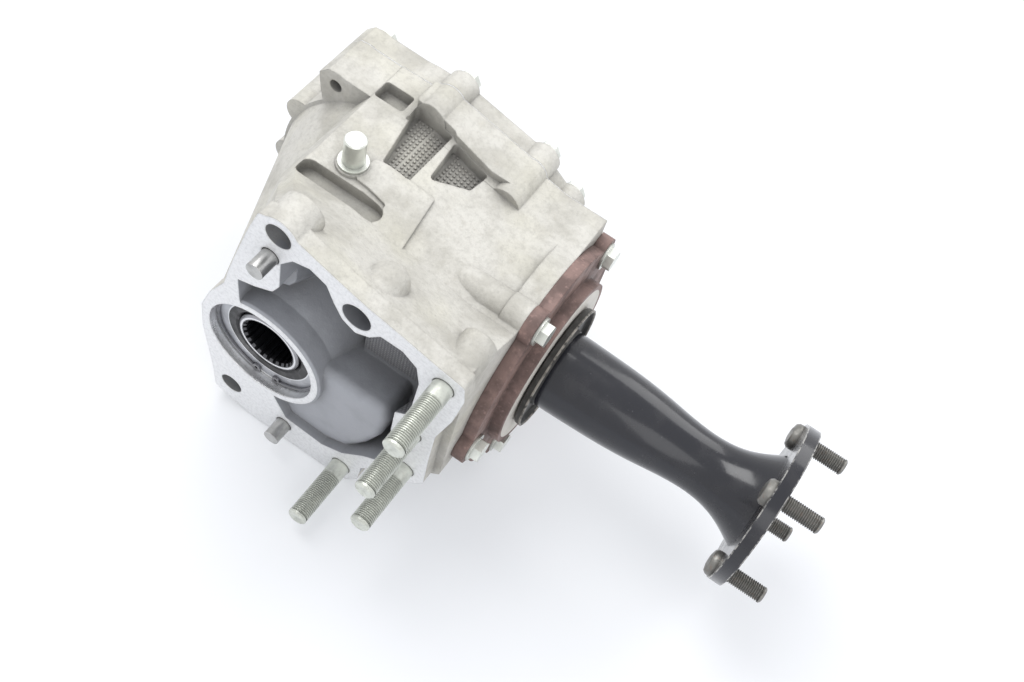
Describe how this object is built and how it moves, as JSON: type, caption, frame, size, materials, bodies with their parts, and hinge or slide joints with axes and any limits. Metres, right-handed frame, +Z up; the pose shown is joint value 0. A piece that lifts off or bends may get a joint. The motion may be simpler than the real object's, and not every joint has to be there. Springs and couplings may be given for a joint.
{
  "type": "transfer case",
  "caption": "Transfer case with an open mating frame, a hollow splined input, a spiral bevel gear pair on tapered bearings and a long flanged output shaft.",
  "frame": {"origin": "on the input axis, in the plane of the mating face", "axes": "+Y runs along the input axis into the case, +X runs along the output axis to the flange, +Z is up"},
  "size_m": [0.389, 0.232, 0.209],
  "materials": {
    "cast_aluminium": "sand-cast, dull",
    "cover_casting": "die-cast, dull",
    "retainer_casting": "weathered casting",
    "black_flange": "black, semi-gloss",
    "bearing_steel": "ground",
    "gear_steel": "ground, oiled",
    "shaft_steel": "turned",
    "plated_bolts": "zinc plated",
    "plated_studs": "zinc plated",
    "seal_rubber": "moulded",
    "spring_steel": "phosphated",
    "soft_metal": "soft washer"
  },
  "bodies": {
    "housing": {"transfer_case": "cast_aluminium", "case_cover": "cover_casting", "bearing_retainer": "retainer_casting", "retainer_o_ring": "seal_rubber", "left_bearing_cup": "bearing_steel", "right_bearing_cup": "bearing_steel", "rear_bearing_cup": "bearing_steel", "front_bearing_cup": "bearing_steel", "left_bearing_shim": "spring_steel", "right_bearing_shim": "spring_steel", "input_oil_seal": "seal_rubber", "output_side_oil_seal": "seal_rubber", "pinion_oil_seal": "seal_rubber", "snap_ring": "spring_steel", "cover_bolts": "plated_bolts", "retainer_bolts": "plated_bolts", "case_studs": "plated_studs", "case_dowels": "plated_studs", "breather_plug": "plated_bolts", "fill_plug": "plated_bolts", "drain_plug": "plated_bolts", "fill_plug_gasket": "soft_metal", "drain_plug_gasket": "soft_metal"},
    "input_shaft": {"ring_gear_mounting_case": "shaft_steel", "ring_gear": "gear_steel", "ring_gear_bolts": "plated_studs", "left_bearing_cone": "bearing_steel", "right_bearing_cone": "bearing_steel"},
    "output_shaft": {"drive_pinion": "gear_steel", "pinion_shim": "spring_steel", "rear_bearing_cone": "bearing_steel", "front_bearing_cone": "bearing_steel", "collapsible_spacer": "spring_steel", "companion_flange": "black_flange", "flange_studs": "plated_studs", "dust_deflector": "plated_bolts", "pinion_washer": "plated_studs", "pinion_nut": "plated_studs"},
    "left_roller_set": {"left_bearing_cage": "bearing_steel", "left_bearing_rollers": "bearing_steel"},
    "right_roller_set": {"right_bearing_cage": "bearing_steel", "right_bearing_rollers": "bearing_steel"},
    "rear_roller_set": {"rear_bearing_cage": "bearing_steel", "rear_bearing_rollers": "bearing_steel"},
    "front_roller_set": {"front_bearing_cage": "bearing_steel", "front_bearing_rollers": "bearing_steel"}
  },
  "joints": [
    {"name": "input_spin", "type": "hinge", "parent": "housing", "child": "input_shaft", "pos_m": [0, 0.098, 0], "axis": [0, 1, 0], "continuous": true},
    {"name": "output_spin", "type": "hinge", "parent": "housing", "child": "output_shaft", "pos_m": [0.1, 0.098, 0], "axis": [1, 0, 0], "continuous": true},
    {"name": "left_roller_orbit", "type": "hinge", "parent": "housing", "child": "left_roller_set", "pos_m": [0, 0.0319, 0], "axis": [0, 1, 0], "continuous": true},
    {"name": "right_roller_orbit", "type": "hinge", "parent": "housing", "child": "right_roller_set", "pos_m": [0, 0.164, 0], "axis": [0, 1, 0], "continuous": true},
    {"name": "rear_roller_orbit", "type": "hinge", "parent": "housing", "child": "rear_roller_set", "pos_m": [0.084, 0.098, 0], "axis": [1, 0, 0], "continuous": true},
    {"name": "front_roller_orbit", "type": "hinge", "parent": "housing", "child": "front_roller_set", "pos_m": [0.114, 0.098, 0], "axis": [1, 0, 0], "continuous": true}
  ],
  "couplings": [
    {"joint": "output_spin", "follows": "input_spin", "ratio": -2.2308},
    {"joint": "left_roller_orbit", "follows": "input_spin", "ratio": 0.43044},
    {"joint": "right_roller_orbit", "follows": "input_spin", "ratio": 0.43044},
    {"joint": "rear_roller_orbit", "follows": "input_spin", "ratio": -0.90075},
    {"joint": "front_roller_orbit", "follows": "input_spin", "ratio": -0.89949}
  ]
}
